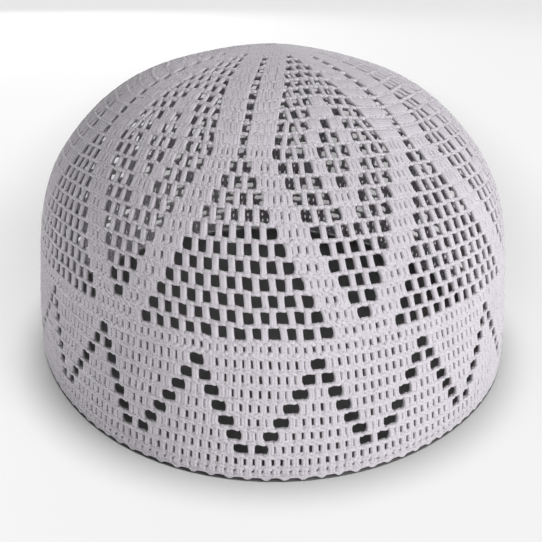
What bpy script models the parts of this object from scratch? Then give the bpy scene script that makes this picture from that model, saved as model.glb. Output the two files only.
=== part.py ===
"""A white kufi, crocheted in rounds from the middle of the crown to the rim.

Lengths are metres. The fabric is described by two coordinates: the round, counted from the
middle of the crown, and the stitch, counted sideways from a sector's stem column of eyelets.
The openwork is cut through as windows, each standing for a small group of eyelets.
"""

import math

import bmesh
import bpy
from mathutils import Vector
from mathutils.geometry import delaunay_2d_cdt

MM = 0.001

# Driving sizes
CLOTH = 2.2 * MM
GAP = 0.3 * MM
SECTORS = 7
FULL_ROUND = 16
STITCHES_PER_SECTOR = 2 * FULL_ROUND
STITCHES = SECTORS * STITCHES_PER_SECTOR
CROWN_ROUNDS = 28
BAND_ROUNDS = 36
FIRST_STEM_TURN = -0.143

# Slope of the fabric below the horizontal, along the way from the middle to the rim
# columns: way from the middle in mm, slope in degrees
PROFILE = (
    (0.0, 0.0),
    (16.0, 11.5),
    (32.0, 19.5),
    (48.0, 33.5),
    (64.0, 44.5),
    (80.0, 52.5),
    (96.0, 66.5),
    (112.0, 75.5),
    (133.0, 77.0),
    (150.0, 85.5),
)
WAY_TO_RIM = PROFILE[-1][0]
PROFILE_STEP = 0.5

# Where the middle of a round lies on that way
# columns: round, way from the middle in mm
ROUND_LINES = (
    (0.0, 0.4),
    (6.0, 17.8),
    (10.0, 36.8),
    (16.0, 63.3),
    (22.0, 90.4),
    (28.0, 115.6),
    (35.0, 141.4),
    (39.0, 155.0),
)

# How far the columns of stitches lean sideways
# columns: round, turn in radians
LEAN = (
    (0.0, 0.012),
    (6.0, 0.006),
    (16.0, 0.0),
    (22.0, 0.0077),
    (28.0, 0.0237),
    (37.0, 0.005),
)

# Plan of the hat, as shares of its radius: a head's oval, slightly squared
# columns: lobes, share at the shoulder, change from there to the rim, sideways share
OVAL = (
    (2, -0.016, 0.079, 0.016),
    (4, 0.020, -0.006, -0.005),
)
SHOULDER_WAY = 96.0
OVAL_FADE_WAY = 32.0

# The stem columns sag a little between the diamonds
SAG = 1.35
SAG_START_ROUNDS = 6
SAG_END_ROUND = 17
SAG_RUN_ROUNDS = 5

# Openwork, in stitches and rounds
RIB = 0.9
EYE = 0.6
EYE_TOP = 0.4
STEM_FIRST_ROUND = 6
TRIANGLE_ROUNDS = 12
TRIANGLE_TIERS = 3
DIAMOND_REACH = 10
INNER_DIAMOND_REACH = 2
DIAMOND_RING_REACH = 5.1
ZIGZAG_FIRST_ROUND = 29
ZIGZAG_ROUNDS = 7
ZIGZAG_STITCHES = 14
ZIGZAG_SHIFT = -4
ZIGZAG_CROTCH = 0.75

# Scalloped edge
SCALLOP_STITCHES = 2
SCALLOP_TIP = 1.2
SCALLOP_DEPTH_WAY = 1.3
LEVEL_BELOW = 0.4 * MM

# The solid strip between a triangle and the diamond before it
STRIP_WIDTH = 3.0
STRIP_ROUNDS = (0.25, 1, 2, 3.5, 5, 6, 8, 10, 12, 14, 16, 18, 20, 22, 24, 26)

# Mesh fineness, in stitches and rounds
BAND_SIDE_ROUNDS = (30.5, 32.5, 34.5)
GRID_STITCHES = 4.0
GRID_ROUNDS = 2.4
CLEARANCE = 0.75
LONGEST_EDGE = 4.2
SHARP_ANGLE = 40


def smooth(x, table):
    """Read a value off a smooth curve through the two columns of a table."""
    last = len(table) - 1
    i = 0
    while i < last - 1 and x >= table[i + 1][0]:
        i += 1

    def rise(j):
        return (table[j + 1][1] - table[j][1]) / (table[j + 1][0] - table[j][0])

    def tangent(j):
        if j == 0:
            return 1.5 * rise(0) - 0.5 * tangent(1)
        if j == last:
            return 1.5 * rise(last - 1) - 0.5 * tangent(last - 1)
        before = table[j][0] - table[j - 1][0]
        after = table[j + 1][0] - table[j][0]
        return (after * rise(j - 1) + before * rise(j)) / (after + before)

    width = table[i + 1][0] - table[i][0]
    t = (x - table[i][0]) / width
    start = (1 + 2 * t) * (1 - t) ** 2 * table[i][1]
    end = t * t * (3 - 2 * t) * table[i + 1][1]
    leave = t * (1 - t) ** 2 * width * tangent(i)
    arrive = t * t * (t - 1) * width * tangent(i + 1)
    return start + end + leave + arrive


def turn_profile():
    """Add up the profile into lists of radius and height, in mm, a step apart along the way."""
    radii = [0.0]
    drops = [0.0]
    slope = math.radians(smooth(0.0, PROFILE))
    for step in range(1, round(WAY_TO_RIM / PROFILE_STEP) + 1):
        next_slope = math.radians(smooth(step * PROFILE_STEP, PROFILE))
        radii.append(radii[-1] + (math.cos(slope) + math.cos(next_slope)) / 2 * PROFILE_STEP)
        drops.append(drops[-1] + (math.sin(slope) + math.sin(next_slope)) / 2 * PROFILE_STEP)
        slope = next_slope
    heights = [drops[-1] - drop for drop in drops]
    return radii, heights


RADII, HEIGHTS = turn_profile()


def read_off(values, way):
    """Read a profile list at a way from the middle, in mm."""
    place = min(max(way / PROFILE_STEP, 0.0), len(values) - 1.001)
    i = int(place)
    return values[i] + (values[i + 1] - values[i]) * (place - i)


def form_point(turn, way):
    """Give the point of the fabric's middle layer, before the hat is centred.

    turn is the share of the round, as an angle from the front, even in length of fabric.
    """
    fade = 1 - math.exp(-((way / OVAL_FADE_WAY) ** 2))
    towards_rim = (way - SHOULDER_WAY) / (WAY_TO_RIM - SHOULDER_WAY)
    angle = turn
    for lobes, share, change, side_share in OVAL:
        ahead = (share + change * towards_rim) * fade
        aside = side_share * fade
        angle -= ahead * math.sin(lobes * turn) / lobes
        angle += aside * (math.cos(lobes * turn) - 1) / lobes
    stretch = 1.0
    for lobes, share, change, side_share in OVAL:
        ahead = (share + change * towards_rim) * fade
        aside = side_share * fade
        stretch += ahead * math.cos(lobes * angle) + aside * math.sin(lobes * angle)
    radius = read_off(RADII, way) * stretch * MM
    return Vector((radius * math.sin(angle), -radius * math.cos(angle), read_off(HEIGHTS, way) * MM))


def rim_centre():
    """Find the middle of the rim's plan, which goes over the origin."""
    rim = [form_point(math.radians(degree), WAY_TO_RIM) for degree in range(360)]
    across = [point.x for point in rim]
    along = [point.y for point in rim]
    return Vector(((min(across) + max(across)) / 2, (min(along) + max(along)) / 2, 0.0))


CENTRE = rim_centre()


def sector_width(round_place):
    """Count the stitches of one sector in a round."""
    return 2 * min(round_place, FULL_ROUND)


def fabric_point(stitch, round_place):
    """Give the point of the middle layer at a stitch from the first stem column, in a round."""
    share = stitch / sector_width(round_place)
    turn = FIRST_STEM_TURN + smooth(round_place, LEAN) + share * math.tau / SECTORS
    sag = SAG * min(max((SAG_END_ROUND - round_place) / SAG_RUN_ROUNDS, 0.0), 1.0)
    sag *= min(round_place / SAG_START_ROUNDS, 1.0)
    way = smooth(round_place, ROUND_LINES) + sag * math.cos(share * math.tau)
    return form_point(turn, min(way, WAY_TO_RIM)) - CENTRE


def split_edges(outline):
    """Put points on the long edges of an outline, so that it can follow the dome."""
    points = []
    for i, (x0, y0) in enumerate(outline):
        x1, y1 = outline[(i + 1) % len(outline)]
        parts = max(1, math.ceil(math.hypot(x1 - x0, y1 - y0) / LONGEST_EDGE))
        points += [(x0 + (x1 - x0) * j / parts, y0 + (y1 - y0) * j / parts) for j in range(parts)]
    return points


def edge_distance(point, outline):
    """Measure how far a point is from an outline."""
    nearest = math.inf
    for i, (x0, y0) in enumerate(outline):
        x1, y1 = outline[(i + 1) % len(outline)]
        length = (x1 - x0) ** 2 + (y1 - y0) ** 2
        t = ((point[0] - x0) * (x1 - x0) + (point[1] - y0) * (y1 - y0)) / length
        t = min(max(t, 0.0), 1.0)
        nearest = min(nearest, math.hypot(point[0] - x0 - t * (x1 - x0), point[1] - y0 - t * (y1 - y0)))
    return nearest


def inside(point, outline):
    """Tell whether a point is inside an outline."""
    crossings = False
    for i, (x0, y0) in enumerate(outline):
        x1, y1 = outline[(i + 1) % len(outline)]
        if (y0 > point[1]) != (y1 > point[1]):
            if point[0] < x0 + (point[1] - y0) * (x1 - x0) / (y1 - y0):
                crossings = not crossings
    return crossings


def cut_sheet(left, right, windows):
    """Triangulate one flat panel of fabric with windows in it.

    left and right run down the panel's two sides, and the windows are outlines inside it.
    Returns the points, as stitch and round, and the triangles.
    """
    top = row_between(left[0], right[0])
    bottom = row_between(left[-1], right[-1])
    border = left + bottom[1:-1] + right[::-1] + top[-2:0:-1]
    outlines = [border] + [split_edges(window) for window in windows]
    points = []
    edges = []
    for outline in outlines:
        first = len(points)
        points += outline
        edges += [(first + i, first + (i + 1) % len(outline)) for i in range(len(outline))]
    rows = max(1, round((left[-1][1] - left[0][1]) / GRID_ROUNDS))
    for row in range(1, rows):
        height = left[0][1] + (left[-1][1] - left[0][1]) * row / rows
        start = across_at(left, height)
        width = across_at(right, height) - start
        count = max(2, round(width / GRID_STITCHES))
        for column in range(1, count):
            point = (start + width * column / count, height)
            if inside(point, border) and all(not inside(point, hole) for hole in outlines[1:]):
                if all(edge_distance(point, outline) > CLEARANCE for outline in outlines):
                    points.append(point)
    result = delaunay_2d_cdt([Vector(point) for point in points], edges, [], 0, 1e-6)
    flat = [tuple(point) for point in result[0]]
    triangles = []
    for face in result[2]:
        middle = (sum(flat[i][0] for i in face) / 3, sum(flat[i][1] for i in face) / 3)
        if inside(middle, border) and not any(inside(middle, hole) for hole in outlines[1:]):
            triangles.append(tuple(face))
    return flat, triangles


def row_between(start, end):
    """Put evenly spaced points on a round between two stitches."""
    count = max(1, round((end[0] - start[0]) / SCALLOP_STITCHES))
    return [(start[0] + (end[0] - start[0]) * i / count, start[1]) for i in range(count + 1)]


def across_at(side, height):
    """Find how far across a panel's side is at a round."""
    for (x0, y0), (x1, y1) in zip(side, side[1:]):
        if height <= y1:
            return x0 + (x1 - x0) * (height - y0) / (y1 - y0)
    return side[-1][0]


def crown_side(sector, end):
    """List the points down the solid strip between a triangle and the diamond before it."""
    points = []
    for place in (*STRIP_ROUNDS, end):
        beside_triangle = min(max(place - FULL_ROUND, 0.0), DIAMOND_REACH)
        strip = min(place / 2, STRIP_WIDTH) + beside_triangle
        points.append((sector * sector_width(place) - strip, float(place)))
    return points


def window_ends(place, part, parts):
    """Find the ends of one of the windows that share a triangle's width in a round."""
    half_width = place - FULL_ROUND + 1.0
    left = half_width * (2 * part / parts - 1)
    right = half_width * (2 * (part + 1) / parts - 1)
    if part > 0:
        left += RIB / 2
    if part < parts - 1:
        right -= RIB / 2
    return left, right


def stem_and_triangle_windows():
    """Outline the windows of one stem and the triangle below it."""
    tier_rounds = TRIANGLE_ROUNDS / TRIANGLE_TIERS
    windows = []
    for tier in range(1, TRIANGLE_TIERS + 1):
        top = FULL_ROUND - EYE_TOP + (tier - 1) * tier_rounds + (RIB if tier > 1 else 0.0)
        foot = FULL_ROUND - 0.5 + tier * tier_rounds
        for part in range(tier):
            top_left, top_right = window_ends(top, part, tier)
            foot_left, foot_right = window_ends(foot, part, tier)
            windows.append([(top_left, top), (top_right, top), (foot_right, foot), (foot_left, foot)])
    stem_top = STEM_FIRST_ROUND - EYE_TOP
    stem = [(-EYE, stem_top), (EYE, stem_top)]
    windows[0] = stem + windows[0][1:] + windows[0][:1]
    return windows


def diamond_windows():
    """Outline the windows of one diamond: its middle and the eight that make its border."""
    ring = DIAMOND_RING_REACH
    rim = DIAMOND_REACH + RIB
    core = INNER_DIAMOND_REACH + RIB
    spans = ((-rim, -ring), (-ring + RIB, ring - RIB), (ring, rim))
    boxes = [(-core, core, -core, core)]
    boxes += [(*spans[i], *spans[j]) for i in range(3) for j in range(3) if (i, j) != (1, 1)]
    windows = []
    for low_a, high_a, low_b, high_b in boxes:
        corners = ((low_a, low_b), (low_a, high_b), (high_a, high_b), (high_a, low_b))
        outline = []
        for a, b in split_edges(list(corners)):
            place = FULL_ROUND + (a + b) / 2
            middle = min(place, FULL_ROUND)
            outline.append((middle + (a - b) / 2, place))
        windows.append(outline)
    return windows


def zigzag_window(peak):
    """Outline the slit that runs down both arms of one zigzag."""
    reach = ZIGZAG_ROUNDS - 1
    top = ZIGZAG_FIRST_ROUND - EYE_TOP
    foot = ZIGZAG_FIRST_ROUND + reach + EYE_TOP
    return [
        (peak - EYE, top),
        (peak + EYE, top),
        (peak + reach + EYE, foot),
        (peak + reach - EYE, foot),
        (peak, ZIGZAG_FIRST_ROUND + ZIGZAG_CROTCH),
        (peak - reach + EYE, foot),
        (peak - reach - EYE, foot),
    ]


def new_material(name, colour, roughness):
    """Make a plain cotton material."""
    material = bpy.data.materials.new(name)
    material.use_nodes = True
    shader = material.node_tree.nodes["Principled BSDF"]
    shader.inputs["Base Color"].default_value = (*colour, 1.0)
    shader.inputs["Roughness"].default_value = roughness
    shader.inputs["Metallic"].default_value = 0.0
    return material


def lay_sheet(panels):
    """Join flat panels into one sheet that lies on the dome, facing out."""
    sheet = bmesh.new()
    for flat, triangles in panels:
        corners = [sheet.verts.new(fabric_point(*point)) for point in flat]
        for triangle in triangles:
            sheet.faces.new([corners[i] for i in triangle])
    bmesh.ops.remove_doubles(sheet, verts=sheet.verts, dist=0.02 * MM)
    bmesh.ops.recalc_face_normals(sheet, faces=sheet.faces)
    far_face = max(sheet.faces, key=lambda face: face.calc_center_median().length)
    if far_face.normal.dot(far_face.calc_center_median()) < 0:
        bmesh.ops.reverse_faces(sheet, faces=sheet.faces)
    sheet.normal_update()
    return sheet


def thicken(sheet):
    """Give a sheet the cloth's thickness, and make it level where it stands on the rim's plane."""
    solid = bmesh.new()
    outer = {vert: solid.verts.new(vert.co + vert.normal * CLOTH / 2) for vert in sheet.verts}
    inner = {vert: solid.verts.new(vert.co - vert.normal * CLOTH / 2) for vert in sheet.verts}
    for face in sheet.faces:
        solid.faces.new([outer[vert] for vert in face.verts])
        solid.faces.new([inner[vert] for vert in reversed(face.verts)])
    for edge in sheet.edges:
        if edge.is_boundary:
            loop = edge.link_loops[0]
            start = loop.vert
            end = loop.link_loop_next.vert
            solid.faces.new([outer[end], outer[start], inner[start], inner[end]])
    for vert in solid.verts:
        if vert.co.z < LEVEL_BELOW:
            vert.co.z = 0.0
    return solid


def build_piece(name, panels, material):
    """Build one piece of the hat from its flat panels."""
    sheet = lay_sheet(panels)
    solid = thicken(sheet)
    mesh = bpy.data.meshes.new(name)
    solid.to_mesh(mesh)
    solid.free()
    sheet.free()
    mesh.materials.append(material)
    mesh.shade_smooth()
    mesh.set_sharp_from_angle(angle=math.radians(SHARP_ANGLE))
    piece = bpy.data.objects.new(name, mesh)
    bpy.context.collection.objects.link(piece)


def half_gap_rounds(round_place):
    """Turn half of the gap between two pieces into a share of a round."""
    way = smooth(round_place + 0.5, ROUND_LINES) - smooth(round_place - 0.5, ROUND_LINES)
    return GAP / MM / 2 / way


def build_crown():
    """Build the dome with its triangles and diamonds."""
    end = CROWN_ROUNDS + 0.5 - half_gap_rounds(CROWN_ROUNDS + 0.5)
    windows = stem_and_triangle_windows() + diamond_windows()
    flat, triangles = cut_sheet(crown_side(0, end), crown_side(1, end), windows)
    panels = []
    for sector in range(SECTORS):
        moved = [(x + sector * sector_width(place), place) for x, place in flat]
        panels.append((moved, triangles))
    build_piece("crown", panels, new_material("cotton_crown", (0.80, 0.79, 0.80), 0.9))


def build_side_band():
    """Build the upright band with its zigzag."""
    start = CROWN_ROUNDS + 0.5 + half_gap_rounds(CROWN_ROUNDS + 0.5)
    end = BAND_ROUNDS + 0.5 - half_gap_rounds(BAND_ROUNDS + 0.5)
    half = ZIGZAG_STITCHES / 2
    places = (start, *BAND_SIDE_ROUNDS, end)
    left = [(ZIGZAG_SHIFT - half, place) for place in places]
    right = [(ZIGZAG_SHIFT + half, place) for place in places]
    flat, triangles = cut_sheet(left, right, [zigzag_window(ZIGZAG_SHIFT)])
    panels = []
    for repeat in range(STITCHES // ZIGZAG_STITCHES):
        moved = [(x + repeat * ZIGZAG_STITCHES, place) for x, place in flat]
        panels.append((moved, triangles))
    build_piece("side_band", panels, new_material("cotton_band", (0.81, 0.80, 0.80), 0.9))


def build_edging():
    """Build the short last round with its scallops, whose tips are level."""
    start = BAND_ROUNDS + 0.5 + half_gap_rounds(BAND_ROUNDS + 0.5)
    last_round, last_way = ROUND_LINES[-1]
    rim_round, rim_way = ROUND_LINES[-2]
    round_height = (last_way - rim_way) / (last_round - rim_round)
    tip = rim_round + (WAY_TO_RIM - rim_way) / round_height
    notch = tip - SCALLOP_DEPTH_WAY / round_height
    middle = SCALLOP_STITCHES / 2
    corners = [
        (0.0, start),
        (middle, start),
        (float(SCALLOP_STITCHES), start),
        (0.0, notch),
        (middle - SCALLOP_TIP / 2, tip),
        (middle + SCALLOP_TIP / 2, tip),
        (float(SCALLOP_STITCHES), notch),
    ]
    triangles = [(0, 3, 4), (0, 4, 1), (1, 4, 5), (1, 5, 2), (2, 5, 6)]
    panels = []
    for scallop in range(STITCHES // SCALLOP_STITCHES):
        moved = [(x + scallop * SCALLOP_STITCHES, place) for x, place in corners]
        panels.append((moved, triangles))
    build_piece("edging", panels, new_material("cotton_edging", (0.81, 0.80, 0.79), 0.9))


def clear_scene():
    """Remove what the file holds."""
    for thing in list(bpy.data.objects):
        bpy.data.objects.remove(thing, do_unlink=True)


clear_scene()
build_crown()
build_side_band()
build_edging()
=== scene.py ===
"""A white kufi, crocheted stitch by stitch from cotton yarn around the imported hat.

The hat is worked in rounds from the middle of the crown down to the rim. Every stitch is made of
strands of yarn that lie on the hat's form: posts that hang between the rounds, yarn that joins
neighbouring posts, and chain links that run along each round. Where the chart leaves a stitch
out, only the chain link is there, and the gap above it is one eyelet of the openwork.

Lengths are millimetres until a mesh is made, and metres in the scene.
"""

import logging
import math
from dataclasses import dataclass, replace
from enum import Enum

import bpy
import numpy as np
from mathutils import Matrix, Vector

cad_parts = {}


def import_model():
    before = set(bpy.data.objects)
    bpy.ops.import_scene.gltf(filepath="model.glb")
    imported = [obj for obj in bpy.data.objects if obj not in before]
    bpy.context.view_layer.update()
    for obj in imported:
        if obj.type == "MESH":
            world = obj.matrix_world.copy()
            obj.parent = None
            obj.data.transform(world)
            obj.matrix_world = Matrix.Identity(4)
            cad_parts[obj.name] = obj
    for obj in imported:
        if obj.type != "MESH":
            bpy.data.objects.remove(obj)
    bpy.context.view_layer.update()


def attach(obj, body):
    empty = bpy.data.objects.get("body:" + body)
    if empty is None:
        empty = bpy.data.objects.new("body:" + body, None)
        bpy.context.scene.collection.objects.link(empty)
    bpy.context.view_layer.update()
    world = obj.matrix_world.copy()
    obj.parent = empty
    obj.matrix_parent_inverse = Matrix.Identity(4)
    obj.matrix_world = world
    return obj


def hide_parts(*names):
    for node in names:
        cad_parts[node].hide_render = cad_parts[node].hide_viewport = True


LOG = logging.getLogger("kufi")
MM = 0.001
Array = np.ndarray


@dataclass(frozen=True)
class SmoothTable:
    """A smooth curve through a short table of two columns.

    Attributes:
        rows: pairs of a place and the value there.
    """

    rows: tuple[tuple[float, float], ...]

    def at(self, place: Array | float) -> Array:
        """Read the curve.

        Args:
            place: places along the first column.

        Returns:
            The values of the second column there.
        """
        xs, ys = np.array(self.rows).T
        widths = np.diff(xs)
        rises = np.diff(ys) / widths
        tangents = np.zeros(len(xs))
        before, after = widths[:-1], widths[1:]
        tangents[1:-1] = (after * rises[:-1] + before * rises[1:]) / (after + before)
        tangents[0] = 1.5 * rises[0] - 0.5 * tangents[1]
        tangents[-1] = 1.5 * rises[-1] - 0.5 * tangents[-2]
        place = np.asarray(place, float)
        i = np.clip(np.searchsorted(xs, place, side="right") - 1, 0, len(widths) - 1)
        t = (place - xs[i]) / widths[i]
        start = (1 + 2 * t) * (1 - t) ** 2 * ys[i]
        end = t * t * (3 - 2 * t) * ys[i + 1]
        leave = t * (1 - t) ** 2 * widths[i] * tangents[i]
        arrive = t * t * (t - 1) * widths[i] * tangents[i + 1]
        return start + end + leave + arrive


@dataclass(frozen=True)
class Places:
    """Points on the hat's form, each with its own directions.

    Attributes:
        points: the points, in mm.
        across: unit vectors along the round, to the right as seen from outside.
        down: unit vectors towards the rim.
        out: unit vectors out of the fabric.
        pitch: width of one stitch there, in mm.
    """

    points: Array
    across: Array
    down: Array
    out: Array
    pitch: Array

    def moved(self, across: Array, down: Array, out: Array) -> Array:
        """Give the points after a move in their own directions.

        Args:
            across: mm to the right.
            down: mm towards the rim.
            out: mm out of the fabric.

        Returns:
            The moved points, in mm.
        """
        move = self.across * across[..., None] + self.down * down[..., None]
        return self.points + move + self.out * out[..., None]

    def raised(self, out: float) -> Array:
        """Give the points after a move out of the fabric, in mm."""
        return self.points + self.out * out


@dataclass(frozen=True)
class HatForm:
    """The form of the hat: the middle layer of its fabric, as a turned and ovalled dome.

    Attributes:
        profile: slope below the horizontal in degrees, by the way from the middle in mm.
        round_lines: way from the middle in mm, by round.
        lean: sideways turn of the stitch columns in radians, by round.
        oval: rows of lobes, share at the shoulder, change to the rim, and sideways share.
        shoulder_way: way at which the oval's first share holds.
        fade_way: way within which the oval fades in from the middle.
        sag: dip of the stem columns in mm.
        sag_start_rounds: rounds over which the dip grows from the middle.
        sag_end_round: round at which the dip is gone.
        sag_run_rounds: rounds over which the dip fades.
        sectors: repeats of the pattern around the crown.
        full_round: round from which no stitches are added.
        first_stem_turn: angle of the first stem column from the front, in radians.
        profile_step: step in mm at which the profile is added up.
    """

    profile: SmoothTable = SmoothTable(
        (
            (0.0, 0.0),
            (16.0, 11.5),
            (32.0, 19.5),
            (48.0, 33.5),
            (64.0, 44.5),
            (80.0, 52.5),
            (96.0, 66.5),
            (112.0, 75.5),
            (133.0, 77.0),
            (150.0, 85.5),
        )
    )
    round_lines: SmoothTable = SmoothTable(
        (
            (0.0, 0.4),
            (6.0, 17.8),
            (10.0, 36.8),
            (16.0, 63.3),
            (22.0, 90.4),
            (28.0, 115.6),
            (35.0, 141.4),
            (39.0, 155.0),
        )
    )
    lean: SmoothTable = SmoothTable(
        ((0.0, 0.012), (6.0, 0.006), (16.0, 0.0), (22.0, 0.0077), (28.0, 0.0237), (37.0, 0.005))
    )
    oval: tuple[tuple[int, float, float, float], ...] = (
        (2, -0.016, 0.079, 0.016),
        (4, 0.020, -0.006, -0.005),
    )
    shoulder_way: float = 96.0
    fade_way: float = 32.0
    sag: float = 1.35
    sag_start_rounds: float = 6.0
    sag_end_round: float = 17.0
    sag_run_rounds: float = 5.0
    sectors: int = 7
    full_round: int = 16
    first_stem_turn: float = -0.143
    profile_step: float = 0.5

    @property
    def rim_way(self) -> float:
        """Way from the middle of the crown to the rim, in mm."""
        return self.profile.rows[-1][0]

    def turned(self) -> tuple[Array, Array, Array]:
        """Add up the profile, a step apart along the way.

        Returns:
            The ways, the radii and the heights above the rim, in mm.
        """
        ways = np.arange(0.0, self.rim_way + self.profile_step / 2, self.profile_step)
        slopes = np.radians(self.profile.at(ways))

        def added(rates: Array) -> Array:
            """Sum the rates along the way."""
            return np.concatenate([[0.0], np.cumsum((rates[1:] + rates[:-1]) / 2 * self.profile_step)])

        drops = added(np.sin(slopes))
        return ways, added(np.cos(slopes)), drops[-1] - drops

    def point(self, turn: Array, way: Array) -> Array:
        """Give points of the fabric's middle layer.

        Args:
            turn: share of the round as an angle from the front, even in length of fabric.
            way: way from the middle of the crown, in mm.

        Returns:
            The points, in mm.
        """
        ways, radii, heights = self.turned()
        fade = 1 - np.exp(-((way / self.fade_way) ** 2))
        towards_rim = (way - self.shoulder_way) / (self.rim_way - self.shoulder_way)
        angle = turn
        for lobes, share, change, side_share in self.oval:
            angle = angle - (share + change * towards_rim) * fade * np.sin(lobes * turn) / lobes
            angle = angle + side_share * fade * (np.cos(lobes * turn) - 1) / lobes
        stretch = np.ones_like(angle)
        for lobes, share, change, side_share in self.oval:
            stretch = stretch + (share + change * towards_rim) * fade * np.cos(lobes * angle)
            stretch = stretch + side_share * fade * np.sin(lobes * angle)
        radius = np.interp(way, ways, radii) * stretch
        height = np.interp(way, ways, heights)
        past = np.maximum(way - self.rim_way, 0.0)
        return np.stack([radius * np.sin(angle), -radius * np.cos(angle), height - past], axis=-1)

    def turn_and_way(self, share: Array, place: Array) -> tuple[Array, Array]:
        """Find where a stitch column crosses a round.

        Args:
            share: sectors from the first stem column.
            place: round, counted from the middle of the crown.

        Returns:
            The turn in radians and the way in mm.
        """
        turn = self.first_stem_turn + self.lean.at(place) + share * math.tau / self.sectors
        sag = self.sag * np.clip((self.sag_end_round - place) / self.sag_run_rounds, 0.0, 1.0)
        sag = sag * np.minimum(place / self.sag_start_rounds, 1.0)
        return turn, self.round_lines.at(place) + sag * np.cos(share * math.tau)

    def places(self, share: Array, place: Array) -> Places:
        """Give points of the fabric with their directions and the stitch size there.

        Args:
            share: sectors from the first stem column.
            place: round, counted from the middle of the crown.

        Returns:
            The points with their directions.
        """
        share, place = np.broadcast_arrays(np.asarray(share, float), np.asarray(place, float))
        turn, way = self.turn_and_way(share, place)
        small_turn, small_way = 1e-4, 0.05
        points = self.point(turn, way)
        across = self.point(turn + small_turn, way) - self.point(turn - small_turn, way)
        down = self.point(turn, way + small_way) - self.point(turn, np.maximum(way - small_way, 0.0))
        stretch = np.linalg.norm(across, axis=-1) / (2 * small_turn)
        across = unit(across)
        down = unit(down - across * dot(down, across))
        out = np.cross(down, across)
        stitches = self.sectors * 2 * np.minimum(place, self.full_round)
        pitch = stretch * math.tau / np.maximum(stitches, 1.0)
        return Places(points, across, down, out, pitch)


def unit(vectors: Array) -> Array:
    """Scale vectors to length one."""
    return vectors / np.maximum(np.linalg.norm(vectors, axis=-1, keepdims=True), 1e-12)


def dot(a: Array, b: Array) -> Array:
    """Multiply vectors pair by pair, keeping a last axis of one."""
    return np.sum(a * b, axis=-1, keepdims=True)


def placed(name: str, data: bpy.types.ID) -> bpy.types.Object:
    """Put a new object in the scene.

    Args:
        name: the object's name.
        data: its mesh, light or camera.

    Returns:
        The object.
    """
    thing = bpy.data.objects.new(name, data)
    bpy.context.scene.collection.objects.link(thing)
    return thing


@dataclass(frozen=True)
class Chart:
    """The crochet chart: which stitch places of a round are posts and which are eyelets.

    A place is an offset in stitches from a sector's stem column. In the crown's growing rounds,
    a place belongs to the stem before it, to the diamond's middle or to the next stem, and its
    column keeps its distance from that line.

    Attributes:
        form: the hat's form, which gives the sectors and the full round.
        stem_start: first round with an eyelet in the stem.
        triangle_end: last round of a triangle.
        diamond_reach: half of a diamond's height in rounds, and of its width in stitches.
        ring: distance, inside the diamond's edge, of its solid inner ring.
        zigzag_start: first round of the zigzag.
        zigzag_end: last round of the zigzag.
        zigzag_repeat: stitches from peak to peak.
        zigzag_shift: stitches from a stem column to a peak.
    """

    form: HatForm
    stem_start: int = 6
    triangle_end: int = 27
    diamond_reach: int = 10
    ring: int = 6
    zigzag_start: int = 29
    zigzag_end: int = 35
    zigzag_repeat: int = 14
    zigzag_shift: int = -4

    def width(self, round_number: int) -> int:
        """Count the stitches of one sector in a round."""
        return 2 * min(round_number, self.form.full_round)

    def stitches(self, round_number: int) -> int:
        """Count the stitches of a whole round."""
        return self.form.sectors * self.width(round_number)

    def is_eyelet(self, round_number: int, place: int) -> bool:
        """Tell whether a stitch place is left open.

        Args:
            round_number: the round, counted from the middle of the crown.
            place: stitches from the first stem column.

        Returns:
            True where there is only a chain link.
        """
        width = self.width(round_number)
        full = self.form.full_round
        if self.zigzag_start <= round_number <= self.zigzag_end:
            from_peak = (place - self.zigzag_shift) % self.zigzag_repeat
            from_peak = min(from_peak, self.zigzag_repeat - from_peak)
            return from_peak == round_number - self.zigzag_start
        from_stem = place % width
        from_stem = min(from_stem, width - from_stem)
        if self.stem_start <= round_number <= self.triangle_end:
            depth = max(round_number - full, 0)
            if from_stem <= depth and (from_stem - depth) % 2 == 0:
                return True
        reach = self.diamond_reach - abs(round_number - full)
        from_middle = abs(place % width - width // 2)
        if reach < 0 or from_middle > reach or (reach - from_middle) % 2:
            return False
        return reach - from_middle != self.ring

    def eyelets(self, round_number: int) -> Array:
        """Mark the eyelets of a round."""
        places = range(self.stitches(round_number))
        return np.array([self.is_eyelet(round_number, place) for place in places])

    def column_share(self, round_number: int, places: Array, at_round: Array) -> Array:
        """Follow stitch columns of a round up or down.

        Args:
            round_number: the round whose stitch places are counted.
            places: stitches from the first stem column.
            at_round: rounds at which the columns are wanted.

        Returns:
            Sectors from the first stem column.
        """
        width = self.width(round_number)
        sector = places // width
        offset = places - sector * width
        line = np.round(2.0 * offset / width) / 2.0
        return sector + line + (offset - line * width) / (2.0 * np.minimum(at_round, self.form.full_round))


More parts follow.
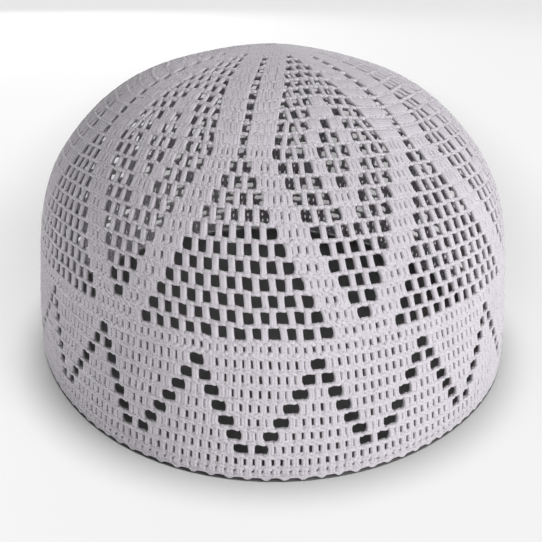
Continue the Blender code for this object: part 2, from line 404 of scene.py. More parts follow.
class YarnMesh:
    """Strands of yarn gathered into one mesh.

    A strand is a closed tube with a point at each end, which lies hidden in its neighbours. From
    one strand of a batch to the next, the plies turn on by a share of the way around.
    """

    PLY_TURN = 0.618

    def __init__(self, sides: int) -> None:
        """Start with no strands.

        Args:
            sides: corners around a strand.
        """
        self.sides = sides
        self.points: list[Array] = []
        self.corners: list[Array] = []
        self.face_sizes: list[Array] = []
        self.thread: list[Array] = []
        self.count = 0

    def add(self, centres: Array, radii: Array, sideways: Array, flat: float = 1.0) -> None:
        """Add a batch of strands with equally many points.

        Args:
            centres: middle points, strands by points by 3, in mm.
            radii: radius at each point, strands by points; the first and last are tips.
            sideways: directions that are never along the strand, in which it may be wider.
            flat: height of the strand's section as a share of its width.
        """
        strands, steps = centres.shape[:2]
        along = np.empty_like(centres)
        along[:, 1:-1] = centres[:, 2:] - centres[:, :-2]
        along[:, 0] = centres[:, 1] - centres[:, 0]
        along[:, -1] = centres[:, -1] - centres[:, -2]
        along = unit(along)
        side = unit(sideways - along * dot(sideways, along))
        rise = np.cross(along, side)
        angles = np.arange(self.sides) * math.tau / self.sides
        ring = side[:, 1:-1, None] * np.cos(angles)[:, None]
        ring = ring + rise[:, 1:-1, None] * np.sin(angles)[:, None] * flat
        rings = centres[:, 1:-1, None] + ring * radii[:, 1:-1, None, None]
        body = rings.reshape(strands, (steps - 2) * self.sides, 3)
        points = np.concatenate([centres[:, :1], body, centres[:, -1:]], axis=1)
        corners, sizes, around, step_at = self.strand_faces(steps)
        lengths = np.cumsum(np.linalg.norm(np.diff(centres, axis=1), axis=-1), axis=1)
        lengths = np.concatenate([np.zeros((strands, 1)), lengths], axis=1)
        per_strand = points.shape[1]
        firsts = self.count + np.arange(strands) * per_strand
        self.points.append(points.reshape(-1, 3))
        self.corners.append((firsts[:, None] + corners).ravel())
        self.face_sizes.append(np.tile(sizes, strands))
        shift = np.arange(strands)[:, None] * self.PLY_TURN % 1.0
        thread = np.stack([around + shift, lengths[:, step_at]], axis=-1)
        self.thread.append(thread.reshape(-1, 2))
        self.count += strands * per_strand

    def strand_faces(self, steps: int) -> tuple[Array, Array, Array, Array]:
        """Lay out the faces of one strand.

        Args:
            steps: points along the strand, tips included.

        Returns:
            The faces' corners one after the other, each face's number of corners, and for each
            corner its share of the way around and its step along the strand.
        """
        corners, sizes, around, step_at = [], [], [], []
        rings = steps - 2
        tip = 1 + rings * self.sides
        for i in range(self.sides):
            j = (i + 1) % self.sides
            low, high = i / self.sides, (i + 1) / self.sides
            middle = (low + high) / 2
            corners += [0, 1 + j, 1 + i]
            around += [middle, high, low]
            step_at += [0, 1, 1]
            sizes.append(3)
            for k in range(rings - 1):
                first, second = 1 + k * self.sides, 1 + (k + 1) * self.sides
                corners += [first + i, first + j, second + j, second + i]
                around += [low, high, high, low]
                step_at += [k + 1, k + 1, k + 2, k + 2]
                sizes.append(4)
            last = 1 + (rings - 1) * self.sides
            corners += [last + i, last + j, tip]
            around += [low, high, middle]
            step_at += [rings, rings, rings + 1]
            sizes.append(3)
        return np.array(corners), np.array(sizes), np.array(around), np.array(step_at)

    def triangles(self) -> int:
        """Count the triangles so far."""
        return int(sum((sizes - 2).sum() for sizes in self.face_sizes))

    def make(self, name: str, material: bpy.types.Material) -> bpy.types.Object:
        """Make the object, in metres.

        Args:
            name: the piece's name.
            material: its finish.

        Returns:
            The piece, linked to the scene.
        """
        points = np.concatenate(self.points) * MM
        corners = np.concatenate(self.corners)
        sizes = np.concatenate(self.face_sizes)
        mesh = bpy.data.meshes.new(name)
        mesh.vertices.add(len(points))
        mesh.vertices.foreach_set("co", points.astype(np.float32).ravel())
        mesh.loops.add(len(corners))
        mesh.loops.foreach_set("vertex_index", corners.astype(np.int32))
        mesh.polygons.add(len(sizes))
        starts = np.concatenate([[0], np.cumsum(sizes)[:-1]])
        mesh.polygons.foreach_set("loop_start", starts.astype(np.int32))
        layer = mesh.uv_layers.new(name=CottonFinish.THREAD_LAYER)
        layer.data.foreach_set("uv", np.concatenate(self.thread).astype(np.float32).ravel())
        mesh.update(calc_edges=True)
        mesh.shade_smooth()
        mesh.materials.append(material)
        return placed(name, mesh)


@dataclass(frozen=True)
class CottonFinish:
    """Matte cotton yarn: twisted plies, fine fibres and slight differences from stitch to stitch.

    Attributes:
        name: the material's name.
        colour: the yarn's colour.
        shade: the slightly darker colour that some stitches have.
        roughness: how matt the yarn is.
        gloss: level of the plain reflection.
        sheen: strength of the soft light on the fibres.
        sheen_roughness: how far that light spreads.
        clouds: scale and detail of two noises, one from stitch to stitch, one across the hat.
        blend: values of their product where the shade ends and where the full colour starts.
        plies: plies twisted together in the yarn.
        twist_length: mm of yarn for a whole turn of a ply.
        ply_depth: depth of the grooves between plies, in mm.
        fibre_scale: fineness of the fibres around the yarn, along it and through it.
        fibre_detail: how much finer the finest fibres are, in halvings.
        fibre_depth: depth of the fine fibres, in mm.
    """

    name: str
    colour: tuple[float, float, float]
    shade: tuple[float, float, float]
    roughness: float = 0.92
    gloss: float = 0.25
    sheen: float = 0.25
    sheen_roughness: float = 0.6
    clouds: tuple[tuple[float, float], ...] = ((420.0, 1.0), (28.0, 2.0))
    blend: tuple[float, float] = (0.10, 0.34)
    plies: int = 3
    twist_length: float = 2.6
    ply_depth: float = 0.04
    fibre_scale: tuple[float, float, float] = (26.0, 1.6, 1.0)
    fibre_detail: float = 3.0
    fibre_depth: float = 0.025

    THREAD_LAYER = "thread"

    def material(self) -> bpy.types.Material:
        """Build the material's nodes.

        Returns:
            The material.
        """
        material = bpy.data.materials.new(self.name)
        material.use_nodes = True
        tree = material.node_tree
        shader = tree.nodes["Principled BSDF"]
        shader.inputs["Roughness"].default_value = self.roughness
        shader.inputs["Sheen Weight"].default_value = self.sheen
        shader.inputs["Sheen Roughness"].default_value = self.sheen_roughness
        shader.inputs["Specular IOR Level"].default_value = self.gloss
        tree.links.new(self.tint(tree), shader.inputs["Base Color"])
        tree.links.new(self.relief(tree), shader.inputs["Normal"])
        return material

    def tint(self, tree: bpy.types.NodeTree) -> bpy.types.NodeSocket:
        """Vary the colour from stitch to stitch and across the hat.

        Args:
            tree: the material's nodes.

        Returns:
            The colour's socket.
        """
        where = tree.nodes.new("ShaderNodeTexCoord").outputs["Object"]
        noises = [self.noise(tree, where, scale, detail) for scale, detail in self.clouds]
        ramp = tree.nodes.new("ShaderNodeValToRGB")
        marks = ramp.color_ramp.elements
        for mark, position, colour in zip(marks, self.blend, (self.shade, self.colour)):
            mark.position = position
            mark.color = (*colour, 1.0)
        tree.links.new(self.maths(tree, "MULTIPLY", *noises), ramp.inputs["Fac"])
        return ramp.outputs["Color"]

    def relief(self, tree: bpy.types.NodeTree) -> bpy.types.NodeSocket:
        """Raise the plies and the fibres.

        Args:
            tree: the material's nodes.

        Returns:
            The normal's socket.
        """
        thread = tree.nodes.new("ShaderNodeUVMap")
        thread.uv_map = self.THREAD_LAYER
        split = tree.nodes.new("ShaderNodeSeparateXYZ")
        tree.links.new(thread.outputs["UV"], split.inputs["Vector"])
        around = self.maths(tree, "MULTIPLY", split.outputs["X"], float(self.plies))
        along = self.maths(tree, "DIVIDE", split.outputs["Y"], self.twist_length / self.plies)
        phase = self.maths(tree, "ADD", around, along)
        wave = self.maths(tree, "SINE", self.maths(tree, "MULTIPLY", phase, math.tau))
        stretch = tree.nodes.new("ShaderNodeMapping")
        stretch.inputs["Scale"].default_value = self.fibre_scale
        tree.links.new(thread.outputs["UV"], stretch.inputs["Vector"])
        fibres = self.noise(tree, stretch.outputs["Vector"], 1.0, self.fibre_detail)
        plies = self.bump(tree, wave, self.ply_depth)
        fine = self.bump(tree, fibres, self.fibre_depth)
        tree.links.new(plies.outputs["Normal"], fine.inputs["Normal"])
        return fine.outputs["Normal"]

    @staticmethod
    def noise(
        tree: bpy.types.NodeTree, where: bpy.types.NodeSocket, scale: float, detail: float
    ) -> bpy.types.NodeSocket:
        """Add a cloudy noise.

        Args:
            tree: the material's nodes.
            where: the place's socket.
            scale: how fine the noise is.
            detail: halvings of its size that are added.

        Returns:
            The noise's socket.
        """
        noise = tree.nodes.new("ShaderNodeTexNoise")
        noise.inputs["Scale"].default_value = scale
        noise.inputs["Detail"].default_value = detail
        tree.links.new(where, noise.inputs["Vector"])
        return noise.outputs["Fac"]

    @staticmethod
    def bump(tree: bpy.types.NodeTree, height: bpy.types.NodeSocket, depth: float) -> bpy.types.Node:
        """Add a relief.

        Args:
            tree: the material's nodes.
            height: the height's socket.
            depth: mm of relief for a height of one.

        Returns:
            The relief's node.
        """
        bump = tree.nodes.new("ShaderNodeBump")
        bump.inputs["Strength"].default_value = 1.0
        bump.inputs["Distance"].default_value = depth * MM
        tree.links.new(height, bump.inputs["Height"])
        return bump

    @staticmethod
    def maths(
        tree: bpy.types.NodeTree,
        operation: str,
        first: bpy.types.NodeSocket,
        second: bpy.types.NodeSocket | float | None = None,
    ) -> bpy.types.NodeSocket:
        """Add one step of arithmetic.

        Args:
            tree: the material's nodes.
            operation: the step's name.
            first: the first value.
            second: the second value, a socket or a number.

        Returns:
            The result's socket.
        """
        node = tree.nodes.new("ShaderNodeMath")
        node.operation = operation
        tree.links.new(first, node.inputs[0])
        if isinstance(second, bpy.types.NodeSocket):
            tree.links.new(second, node.inputs[1])
        elif second is not None:
            node.inputs[1].default_value = second
        return node.outputs["Value"]


@dataclass(frozen=True)
class HandWork:
    """The unevenness of hand work, as slow waves over the fabric and a jitter of each strand.

    Each round has random draws of its own, numbered by what they are for. Round 0 has those of the
    waves, which run through all the rounds.

    Attributes:
        seed: start of the random draws.
        draws_per_round: numbers of draws that a round may have.
        drift_draw: number of the draws for the sideways waves.
        dip_draw: number of the draws for the up and down waves.
        sectors: repeats of the pattern around the hat, which a wave goes round as a whole.
        waves: number of waves that are added up.
        crests: fewest crests of a wave around the hat, and the number that they stay below.
        turns: least and greatest turn of a wave from round to round, in radians.
        drift: sideways unevenness as a share of a stitch.
        dip: up and down unevenness as a share of a round's height.
        jitter: unevenness of single strands as a share of a stitch.
        bend: unevenness within a strand as a share of the jitter.
        plumpness: unevenness of the strands' thickness as a share of it.
    """

    seed: int = 7
    draws_per_round: int = 10
    drift_draw: int = 1
    dip_draw: int = 2
    sectors: int = 7
    waves: int = 24
    crests: tuple[int, int] = (12, 90)
    turns: tuple[float, float] = (0.4, 2.2)
    drift: float = 0.02
    dip: float = 0.015
    jitter: float = 0.015
    bend: float = 0.5
    plumpness: float = 0.05

    def draws(self, round_number: int, draw: int) -> np.random.Generator:
        """Start one of the streams of random draws of a round."""
        return np.random.default_rng((self.seed, round_number * self.draws_per_round + draw))

    def shift(self, share: Array, place: Array, draw: int) -> Array:
        """Add up the waves.

        Args:
            share: sectors from the first stem column.
            place: round.
            draw: number of the waves' draws.

        Returns:
            Values of about -1 to 1.
        """
        draws = self.draws(0, draw)
        total = np.zeros(np.broadcast(share, place).shape)
        for _ in range(self.waves):
            around = int(draws.integers(*self.crests))
            over = draws.uniform(*self.turns)
            start = draws.uniform(0.0, math.tau)
            total = total + np.sin(around * share * math.tau / self.sectors + over * place + start)
        return total * math.sqrt(2.0 / self.waves)


@dataclass(frozen=True)
class StrandShape:
    """The line of one strand, in steps.

    Attributes:
        draw: number of its random draws in a round; the left one of a pair takes the next.
        steps: places along the strand, from one node (0) to the next (1).
        out: offset out of the fabric at each step, in stitches.
        radius: radius as a share of a stitch.
        thickest: greatest radius, in mm.
        flat: thickness of the strand as a share of its width.
        aside: sideways offset at each step, or one for all, in stitches.
        slant: offset towards the rim at each step, or one for all, in stitches.
        lean: how far a post leans to the right from its head to its foot, in stitches.
        along_round: whether the strand runs along its round, and not down it.
        level: how far down its round a strand lies that runs along it.
    """

    draw: int
    steps: tuple[float, ...]
    out: tuple[float, ...]
    radius: float
    thickest: float
    flat: float
    aside: tuple[float, ...] = (0.0,)
    slant: tuple[float, ...] = (0.0,)
    lean: float = 0.0
    along_round: bool = False
    level: float = 1.0


class StrandKind(Enum):
    """The strands of a stitch, each with its line."""

    POST = StrandShape(
        draw=1,
        steps=(-0.12, 0.03, 0.33, 0.67, 0.97, 1.12),
        out=(-0.20, -0.09, -0.055, -0.055, -0.09, -0.20),
        radius=0.33,
        thickest=0.66,
        flat=1.10,
        aside=(0.14, 0.19, 0.125, 0.125, 0.19, 0.14),
        lean=0.16,
    )
    SHORT_POST = StrandShape(
        draw=1,
        steps=(-0.10, 0.05, 0.95, 1.10),
        out=(0.0, 0.08, 0.08, 0.0),
        radius=0.28,
        thickest=0.70,
        flat=0.65,
        aside=(0.14, 0.16, 0.16, 0.14),
        lean=0.10,
    )
    FILLING = StrandShape(
        draw=5,
        steps=(-0.12, 0.03, 0.35, 0.65, 0.97, 1.12),
        out=(-0.04, 0.09, 0.12, 0.12, 0.09, -0.04),
        radius=0.40,
        thickest=0.90,
        flat=0.45,
        lean=0.16,
    )
    UPPER_FILLING = replace(FILLING, steps=(-0.12, 0.03, 0.22, 0.36), out=(-0.04, 0.09, 0.09, 0.02))
    LOWER_FILLING = replace(
        FILLING, draw=6, steps=(0.62, 0.76, 0.97, 1.12), out=(0.02, 0.09, 0.09, -0.04)
    )
    UPPER_BRIDGE = StrandShape(
        draw=5,
        steps=(-0.15, 0.15, 0.85, 1.15),
        out=(-0.05, 0.04, 0.04, -0.05),
        radius=0.30,
        thickest=0.50,
        flat=0.8,
        along_round=True,
        level=0.12,
    )
    LOWER_BRIDGE = replace(UPPER_BRIDGE, draw=6, level=0.86)
    OUTER_LINK = StrandShape(
        draw=3,
        steps=(-0.76, -0.42, 0.0, 0.42, 0.76),
        out=(0.0, 0.05, 0.07, 0.05, 0.0),
        radius=0.32,
        thickest=0.60,
        flat=0.8,
        slant=(-0.12, -0.08, -0.02, 0.08, 0.14),
        along_round=True,
    )
    INNER_LINK = StrandShape(
        draw=4,
        steps=(-0.75, -0.42, 0.42, 0.75),
        out=(-0.04, -0.14, -0.14, -0.04),
        radius=0.30,
        thickest=0.58,
        flat=0.8,
        slant=(0.09, 0.05, -0.05, -0.09),
        along_round=True,
    )


@dataclass
class CrochetRounds:
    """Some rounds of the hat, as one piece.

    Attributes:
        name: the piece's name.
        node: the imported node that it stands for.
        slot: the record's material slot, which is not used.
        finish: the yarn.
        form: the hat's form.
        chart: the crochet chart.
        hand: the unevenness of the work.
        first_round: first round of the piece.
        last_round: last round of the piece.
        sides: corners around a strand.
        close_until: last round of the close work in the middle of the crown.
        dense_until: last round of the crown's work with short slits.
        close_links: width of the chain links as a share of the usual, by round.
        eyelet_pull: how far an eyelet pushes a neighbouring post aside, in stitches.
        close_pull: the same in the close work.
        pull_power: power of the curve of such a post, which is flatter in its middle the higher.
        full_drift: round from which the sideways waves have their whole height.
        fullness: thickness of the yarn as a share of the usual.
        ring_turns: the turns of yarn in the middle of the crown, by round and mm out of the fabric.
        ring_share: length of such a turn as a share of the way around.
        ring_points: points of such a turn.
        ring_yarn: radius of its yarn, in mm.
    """

    name: str
    node: str
    slot: str
    finish: CottonFinish
    form: HatForm
    chart: Chart
    hand: HandWork
    first_round: int
    last_round: int
    sides: int = 5
    close_until: int = 15
    dense_until: int = 28
    close_links: tuple[tuple[float, float], ...] = ((6.0, 1.9), (16.0, 1.0))
    eyelet_pull: float = 0.25
    close_pull: float = 0.10
    pull_power: int = 8
    full_drift: float = 6.0
    fullness: float = 1.0
    ring_turns: tuple[tuple[float, float], ...] = ((0.45, 0.25), (0.62, -0.35))
    ring_share: float = 1.04
    ring_points: int = 26
    ring_yarn: float = 0.5

    def build(self) -> bpy.types.Object:
        """Build the piece and dress it.

        Returns:
            The piece.
        """
        yarn = YarnMesh(self.sides)
        if self.first_round == 1:
            self.add_ring(yarn)
        for round_number in range(self.first_round, self.last_round + 1):
            self.add_posts(yarn, round_number)
            self.add_bridges(yarn, round_number)
            self.add_links(yarn, round_number)
        return self.dress(yarn)

    def dress(self, yarn: YarnMesh) -> bpy.types.Object:
        """Make the piece of its strands and give it its place, body and finish.

        Args:
            yarn: the strands.

        Returns:
            The piece.
        """
        piece = yarn.make(self.name, self.finish.material())
        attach(piece, "root")
        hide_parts(self.node)
        LOG.info("%s: %d triangles", self.name, yarn.triangles())
        return piece

    def nodes(self, share: Array, place: Array) -> Places:
        """Give places on the fabric with the unevenness of the hand in them.

        Args:
            share: sectors from the first stem column.
            place: round.

        Returns:
            The places.
        """
        stitches = 2 * np.minimum(place, self.form.full_round)
        share, place = np.broadcast_arrays(share, place)
        drift = self.hand.shift(share, place, self.hand.drift_draw) * self.hand.drift / stitches
        dip = self.hand.shift(share, place, self.hand.dip_draw) * self.hand.dip
        drift = drift * np.minimum(place / self.full_drift, 1.0)
        return self.form.places(share + drift, place + dip)

    def lay(
        self,
        yarn: YarnMesh,
        shape: StrandShape,
        round_number: int,
        where: Places,
        mirrored: bool = False,
        pull: Array | float = 0.0,
        widened: float = 1.0,
    ) -> None:
        """Lay one strand of every stitch in a batch.

        Args:
            yarn: the mesh that takes the strands.
            shape: the strand's line.
            round_number: the round that it belongs to.
            where: places of its steps, stitches by steps.
            mirrored: whether it is the left one of a pair.
            pull: how far its middle is pulled to the right, in stitches.
            widened: width of the strand as a share of the usual, at the same thickness.
        """
        hand = self.hand
        draws = hand.draws(round_number, shape.draw + mirrored)
        strands, steps = where.pitch.shape
        jitter = draws.normal(0.0, hand.jitter, (strands, 3, 1))
        wobble = draws.normal(0.0, hand.jitter * hand.bend, (strands, 3, steps))
        side = -1.0 if mirrored else 1.0
        from_middle = 2 * np.array(shape.steps) - 1
        pulled = pull * np.maximum(1 - from_middle**self.pull_power, 0.0)
        aside = np.array(shape.aside) * side + jitter[:, 0] + wobble[:, 0]
        aside = aside + pulled + shape.lean / 2 * from_middle
        out = np.array(shape.out) + jitter[:, 1] + wobble[:, 1]
        slant = np.array(shape.slant) + wobble[:, 2]
        centres = where.moved(aside * where.pitch, slant * where.pitch, out * where.pitch)
        thick = np.minimum(shape.radius * where.pitch, shape.thickest) * self.fullness
        thick = thick * (1.0 + draws.normal(0.0, hand.plumpness, (strands, 1)))
        sideways = where.down if shape.along_round else where.across
        yarn.add(centres, thick * widened, sideways, shape.flat / widened)

    def add_ring(self, yarn: YarnMesh) -> None:
        """Add the ring of yarn in the middle of the crown, which holds the first round.

        Args:
            yarn: the mesh that takes it.
        """
        share = np.linspace(0.0, self.form.sectors * self.ring_share, self.ring_points)[None, :]
        for place, out in self.ring_turns:
            where = self.form.places(share, place)
            yarn.add(where.raised(out), np.full(share.shape, self.ring_yarn), where.down)

    def add_posts(self, yarn: YarnMesh, round_number: int) -> None:
        """Add the posts of a round.

        Args:
            yarn: the mesh that takes them.
            round_number: the round.
        """
        eyelets = self.chart.eyelets(round_number)
        posts = np.flatnonzero(~eyelets)[:, None]
        towards_left = np.roll(eyelets, -1)[posts].astype(float)
        towards_right = np.roll(eyelets, 1)[posts].astype(float)
        close = round_number <= self.close_until
        pull = (towards_right - towards_left) * (self.close_pull if close else self.eyelet_pull)
        shape = StrandKind.POST.value
        at_round = round_number - 0.5 + np.array(shape.steps)[None, :]
        where = self.nodes(self.chart.column_share(round_number, posts, at_round), at_round)
        for mirrored in (False, True):
            self.lay(yarn, shape, round_number, where, mirrored, pull)

    def add_bridges(self, yarn: YarnMesh, round_number: int) -> None:
        """Add the yarn that joins neighbouring posts.

        In the close work it fills the whole height between them. In the rest of the crown it
        leaves a short slit there, and in the band it only bridges their heads and their feet.

        Args:
            yarn: the mesh that takes it.
            round_number: the round.
        """
        eyelets = self.chart.eyelets(round_number)
        joined = np.flatnonzero(~eyelets & ~np.roll(eyelets, -1))[:, None]
        if round_number <= self.close_until:
            self.add_between(yarn, StrandKind.FILLING, round_number, joined)
        elif round_number <= self.dense_until:
            self.add_between(yarn, StrandKind.UPPER_FILLING, round_number, joined)
            self.add_between(yarn, StrandKind.LOWER_FILLING, round_number, joined)
        else:
            self.add_along(yarn, StrandKind.UPPER_BRIDGE, round_number, joined)
            self.add_along(yarn, StrandKind.LOWER_BRIDGE, round_number, joined)

    def add_between(self, yarn: YarnMesh, kind: StrandKind, round_number: int, posts: Array) -> None:
        """Add strands that run down between two neighbouring posts.

        Args:
            yarn: the mesh that takes them.
            kind: the strands' kind.
            round_number: the round.
            posts: the posts on their left.
        """
        shape = kind.value
        at_round = round_number - 0.5 + np.array(shape.steps)[None, :]
        left = self.chart.column_share(round_number, posts, at_round)
        right = self.chart.column_share(round_number, posts + 1, at_round)
        self.lay(yarn, shape, round_number, self.nodes((left + right) / 2, at_round))

    def add_links(self, yarn: YarnMesh, round_number: int) -> None:
        """Add the chain links along the lower edge of a round.

        Args:
            yarn: the mesh that takes them.
            round_number: the round.
        """
        places = np.arange(self.chart.stitches(round_number))[:, None]
        self.add_along(yarn, StrandKind.OUTER_LINK, round_number, places)
        self.add_along(yarn, StrandKind.INNER_LINK, round_number, places)

    def add_along(self, yarn: YarnMesh, kind: StrandKind, round_number: int, places: Array) -> None:
        """Add strands that run along a round, each to the stitch on its right.

        Args:
            yarn: the mesh that takes them.
            kind: the strands' kind.
            round_number: the round.
            places: the stitches that they start from.
        """
        shape = kind.value
        level = np.full(places.shape, round_number - 0.5 + shape.level)
        start = self.chart.column_share(round_number, places, level)
        end = self.chart.column_share(round_number, places + 1, level)
        where = self.nodes(start + (end - start) * np.array(shape.steps)[None, :], level)
        widened = float(np.interp(round_number, *np.array(self.close_links).T))
        self.lay(yarn, shape, round_number, where, widened=widened)


@dataclass
class Edging:
    """The short last round and the scallops that the hat rests on.

    Attributes:
        rounds: maker of the stitches' strands, for this piece.
        ridge_height: height of the last chain above the rim's plane, in mm.
        valley_height: height of the scallops' yarn between two scallops, in mm.
        tip_height: height of the scallops' yarn at their tips, in mm.
        yarn_radius: radius of the scallops' yarn, in mm.
        scallop_stitches: stitches over one scallop.
        scallop_strands: each strand's share of the scallop's depth, and its mm out of the fabric.
        scallop_overlap: length of a strand past each end of its scallop, as a share of it.
        scallop_points: points of a strand.
        scallop_draw: number of the scallops' random draws in the round.
        shallowest: depth of the shallowest scallop as a share of the deepest.
        roundness: power of the scallops' curve, rounder towards zero and more pointed above one.
        search: first and last round in which a height is looked for, from the piece's own round,
            and the number of places between them.
    """

    rounds: CrochetRounds
    ridge_height: float = 1.80
    valley_height: float = 1.30
    tip_height: float = 0.44
    yarn_radius: float = 0.42
    scallop_stitches: int = 2
    scallop_strands: tuple[tuple[float, float], ...] = ((1.0, 0.15), (0.15, 0.30), (0.45, -0.45))
    scallop_overlap: float = 0.08
    scallop_points: int = 12
    scallop_draw: int = 5
    shallowest: float = 0.85
    roundness: float = 5.0
    search: tuple[float, float, int] = (-1.0, 2.0, 61)

    def build(self) -> bpy.types.Object:
        """Build the piece and dress it.

        Returns:
            The piece.
        """
        yarn = YarnMesh(self.rounds.sides)
        self.add_short_stitches(yarn)
        self.add_scallops(yarn)
        return self.rounds.dress(yarn)

    def round_at(self, height: Array | float) -> Array:
        """Find the round that lies at a height above the rim's plane.

        Args:
            height: the height, in mm.

        Returns:
            The round.
        """
        form = self.rounds.form
        start, end, count = self.search
        rounds = self.rounds.first_round + np.linspace(start, end, count)
        return np.interp(form.rim_way - np.asarray(height), form.round_lines.at(rounds), rounds)

    def add_short_stitches(self, yarn: YarnMesh) -> None:
        """Add the last round of short stitches and its chain links.

        Args:
            yarn: the mesh that takes them.
        """
        maker = self.rounds
        number = maker.first_round
        top = number - 0.5
        bottom = float(self.round_at(self.ridge_height))
        places = np.arange(maker.chart.stitches(number))[:, None]
        per_sector = maker.chart.width(number)
        post = StrandKind.SHORT_POST.value
        at_round = top + (bottom - top) * np.array(post.steps)[None, :]
        where = maker.nodes(places / per_sector, at_round)
        for mirrored in (False, True):
            maker.lay(yarn, post, number, where, mirrored)
        for kind in (StrandKind.OUTER_LINK, StrandKind.INNER_LINK):
            share = (places + np.array(kind.value.steps)[None, :]) / per_sector
            maker.lay(yarn, kind.value, number, maker.nodes(share, bottom))

    def add_scallops(self, yarn: YarnMesh) -> None:
        """Add bent strands for each scallop: one at its tip, one in front and one behind.

        Args:
            yarn: the mesh that takes them.
        """
        maker = self.rounds
        per_sector = maker.chart.width(maker.first_round)
        count = maker.chart.stitches(maker.first_round) // self.scallop_stitches
        starts = np.arange(count)[:, None] * self.scallop_stitches
        overlap = self.scallop_overlap
        steps = np.linspace(-overlap, 1.0 + overlap, self.scallop_points)[None, :]
        stitch = starts + steps * self.scallop_stitches
        bump = np.sin(np.clip(steps, 0.0, 1.0) * math.pi) ** self.roundness
        draws = maker.hand.draws(maker.first_round, self.scallop_draw)
        for share_down, out in self.scallop_strands:
            depth = (self.valley_height - self.tip_height) * share_down
            reach = depth * draws.uniform(self.shallowest, 1.0, (count, 1))
            height = self.valley_height - reach * bump
            where = maker.nodes(stitch / per_sector, self.round_at(height))
            yarn.add(where.raised(out), np.full(stitch.shape, self.yarn_radius), where.down)


@dataclass(frozen=True)
class Lamp:
    """A soft square lamp.

    Attributes:
        name: the lamp's name.
        place: where it is, in metres.
        size: its width, in metres.
        power: its power, in watts.
    """

    name: str
    place: tuple[float, float, float]
    size: float
    power: float


@dataclass(frozen=True)
class Flag:
    """An oval cloth that hangs over the set and keeps some of the floor's light away.

    Attributes:
        name: the flag's name.
        middle: how far behind the hat's middle it hangs, in metres.
        across: half of its width, in metres.
        along: half of its length, in metres.
        height: how high it hangs, in metres.
        passes: share of the light that goes through it.
    """

    name: str
    middle: float
    across: float
    along: float
    height: float
    passes: float


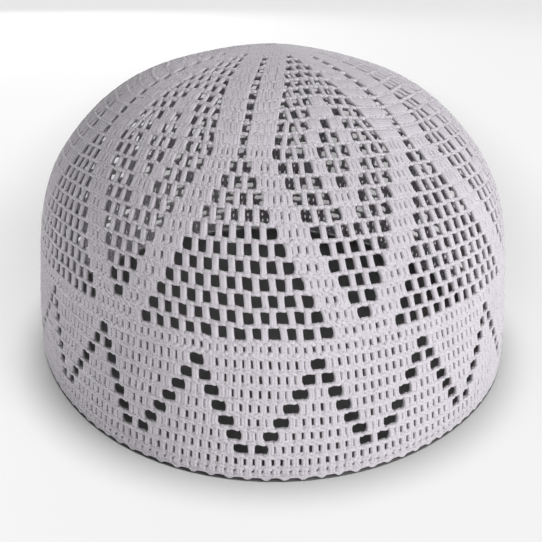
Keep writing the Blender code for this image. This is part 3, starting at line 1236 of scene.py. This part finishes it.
@dataclass(frozen=True)
class Studio:
    """The floor, the lights and the camera.

    Attributes:
        floor_size: width of the floor, in metres.
        floor_colour: the floor's colour.
        floor_roughness: how matt the floor is.
        floor_gloss: level of the floor's plain reflection.
        floor_light: strength of the light that shines straight down on the floor.
        floor_light_angle: how wide that light is, in degrees.
        walls: strength of the light from the pale walls around, by height of the direction.
        lamps: the lamps that shine at the hat.
        aim: the point that they shine at, in metres.
        flags: the flags and scrims under the floor's light.
        flag_corners: corners of a flag's rim.
        bounces: how often light goes on from one surface to the next.
        distance: from the camera to the point it looks at, in mm.
        elevation: the camera's angle above the horizon, in degrees.
        roll: the camera's roll, in radians.
        target: the point it looks at, in mm.
        focal_pixels: focal length in pixels of the photograph.
        photo_width: width of the photograph in pixels.
        clip_start: distance from which the camera sees, in metres.
    """

    floor_size: float = 24.0
    floor_colour: tuple[float, float, float] = (0.20, 0.20, 0.20)
    floor_roughness: float = 0.9
    floor_gloss: float = 0.1
    floor_light: float = 12.4
    floor_light_angle: float = 5.0
    walls: tuple[tuple[float, float], ...] = (
        (0.0, 0.80),
        (0.05, 0.50),
        (0.12, 0.27),
        (0.20, 0.18),
        (0.45, 0.08),
        (1.0, 0.04),
    )
    lamps: tuple[Lamp, ...] = (
        Lamp("key", (1.32, -0.68, 0.76), 0.6, 17.0),
        Lamp("front", (-0.62, -1.30, 0.88), 0.8, 4.7),
        Lamp("back", (-0.60, 1.50, 0.70), 0.8, 15.0),
    )
    aim: tuple[float, float, float] = (0.0, 0.0, 0.05)
    flags: tuple[Flag, ...] = (
        Flag("flag", 0.0, 0.086, 0.097, 0.30, 0.0),
        Flag("near_scrim", 0.14, 0.100, 0.18, 1.60, 0.75),
        Flag("middle_scrim", 0.26, 0.115, 0.30, 1.65, 0.65),
        Flag("far_scrim", 0.38, 0.130, 0.42, 1.70, 0.6),
    )
    flag_corners: int = 48
    bounces: int = 1
    distance: float = 265.9
    elevation: float = 23.97
    roll: float = 0.0172
    target: tuple[float, float, float] = (0.49, 0.03, 18.59)
    focal_pixels: float = 693.9
    photo_width: int = 542
    clip_start: float = 0.01

    def build(self) -> None:
        """Set the whole scene around the hat."""
        floor = self.add_floor()
        self.add_walls()
        self.add_floor_light(floor)
        for lamp in self.lamps:
            self.add_lamp(lamp)
        for flag in self.flags:
            self.add_flag(flag)
        self.add_camera()
        bpy.context.scene.view_settings.view_transform = "Standard"
        bpy.context.scene.cycles.diffuse_bounces = self.bounces

    def add_floor(self) -> bpy.types.Object:
        """Lay a plain pale floor.

        Returns:
            The floor.
        """
        mesh = bpy.data.meshes.new("floor")
        half = self.floor_size / 2
        corners = [(-half, -half, 0.0), (half, -half, 0.0), (half, half, 0.0), (-half, half, 0.0)]
        mesh.from_pydata(corners, [], [(0, 1, 2, 3)])
        floor = placed("floor", mesh)
        material = bpy.data.materials.new("pale_floor")
        material.use_nodes = True
        shader = material.node_tree.nodes["Principled BSDF"]
        shader.inputs["Base Color"].default_value = (*self.floor_colour, 1.0)
        shader.inputs["Roughness"].default_value = self.floor_roughness
        shader.inputs["Specular IOR Level"].default_value = self.floor_gloss
        mesh.materials.append(material)
        return floor

    def add_walls(self) -> None:
        """Set the light of pale walls all around, brighter at the floor, with a dark ceiling."""
        world = bpy.data.worlds.new("studio")
        bpy.context.scene.world = world
        world.use_nodes = True
        tree = world.node_tree
        direction = tree.nodes.new("ShaderNodeTexCoord").outputs["Generated"]
        split = tree.nodes.new("ShaderNodeSeparateXYZ")
        tree.links.new(direction, split.inputs["Vector"])
        ramp = tree.nodes.new("ShaderNodeValToRGB")
        marks = ramp.color_ramp.elements
        for height, _ in self.walls[1:-1]:
            marks.new(height)
        for mark, (height, strength) in zip(marks, self.walls):
            mark.position = height
            mark.color = (strength, strength, strength, 1.0)
        tree.links.new(split.outputs["Z"], ramp.inputs["Fac"])
        tree.links.new(ramp.outputs["Color"], tree.nodes["Background"].inputs["Color"])

    def add_lamp(self, lamp: Lamp) -> None:
        """Add a soft square lamp that shines at the hat.

        Args:
            lamp: the lamp.
        """
        light = bpy.data.lights.new(lamp.name, "AREA")
        light.size = lamp.size
        light.energy = lamp.power
        holder = placed(lamp.name, light)
        towards = Vector(self.aim) - Vector(lamp.place)
        holder.location = lamp.place
        holder.rotation_euler = towards.to_track_quat("-Z", "Y").to_euler()

    def add_floor_light(self, floor: bpy.types.Object) -> None:
        """Light the floor alone, from straight above.

        Args:
            floor: the floor.
        """
        light = bpy.data.lights.new("floor_light", "SUN")
        light.energy = self.floor_light
        light.angle = math.radians(self.floor_light_angle)
        receivers = bpy.data.collections.new("floor_only")
        receivers.objects.link(floor)
        placed("floor_light", light).light_linking.receiver_collection = receivers

    def add_flag(self, flag: Flag) -> None:
        """Hang a flag, of which nothing shows but its shadow.

        Args:
            flag: the flag.
        """
        mesh = bpy.data.meshes.new(flag.name)
        turns = np.arange(self.flag_corners) * math.tau / self.flag_corners
        rim = [(flag.across * math.cos(turn), flag.along * math.sin(turn), 0.0) for turn in turns]
        mesh.from_pydata(rim, [], [tuple(range(len(rim)))])
        material = bpy.data.materials.new(flag.name)
        material.use_nodes = True
        tree = material.node_tree
        shader = tree.nodes.new("ShaderNodeBsdfTransparent")
        shader.inputs["Color"].default_value = (flag.passes, flag.passes, flag.passes, 1.0)
        tree.links.new(shader.outputs["BSDF"], tree.nodes["Material Output"].inputs["Surface"])
        mesh.materials.append(material)
        cloth = placed(flag.name, mesh)
        cloth.location = (0.0, flag.middle, flag.height)
        cloth.visible_camera = False
        cloth.visible_diffuse = False
        cloth.visible_glossy = False

    def add_camera(self) -> None:
        """Place the camera at the photograph's view."""
        rise = math.radians(self.elevation)
        forward = Vector((0.0, math.cos(rise), -math.sin(rise)))
        level_up = Vector((0.0, math.sin(rise), math.cos(rise)))
        right = Vector((math.cos(self.roll), 0.0, 0.0)) + level_up * math.sin(self.roll)
        up = level_up * math.cos(self.roll) - Vector((math.sin(self.roll), 0.0, 0.0))
        place = (Vector(self.target) - forward * self.distance) * MM
        turn = Matrix((right, up, -forward)).transposed()
        lens = bpy.data.cameras.new("photo_view")
        lens.lens = self.focal_pixels / self.photo_width * lens.sensor_width
        lens.clip_start = self.clip_start
        camera = placed("photo_view", lens)
        camera.matrix_world = Matrix.Translation(place) @ turn.to_4x4()
        bpy.context.scene.camera = camera


CROWN_PIECES = ((1, 13), (14, 18), (19, 23), (24, 28))
BAND_PIECES = ((29, 32), (33, 36))
LAST_ROUND = 37
CROWN_FULLNESS = 1.08
WHITE = (0.80, 0.757, 0.815)
SHADE = (0.74, 0.70, 0.754)


def main() -> None:
    """Build the hat piece by piece, and the studio around it."""
    logging.basicConfig(level=logging.INFO, format="%(name)s %(message)s")
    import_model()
    form = HatForm()
    chart = Chart(form)
    crown_hand = HandWork(drift=0.045, dip=0.025)
    band_hand = HandWork()
    crown = CottonFinish("crown_cotton", WHITE, SHADE)
    band = CottonFinish("band_cotton", WHITE, SHADE)
    edge = CottonFinish("edging_cotton", WHITE, SHADE)
    for first, last in CROWN_PIECES:
        name = f"crown_rounds_{first}_to_{last}"
        rounds = CrochetRounds(name, "crown", "cotton_crown", crown, form, chart, crown_hand, first, last)
        replace(rounds, fullness=CROWN_FULLNESS).build()
    for first, last in BAND_PIECES:
        name = f"band_rounds_{first}_to_{last}"
        CrochetRounds(name, "side_band", "cotton_band", band, form, chart, band_hand, first, last).build()
    short_round = CrochetRounds(
        "scalloped_edging", "edging", "cotton_edging", edge, form, chart, band_hand, LAST_ROUND, LAST_ROUND
    )
    Edging(short_round).build()
    Studio().build()


if __name__ == "__main__":
    main()
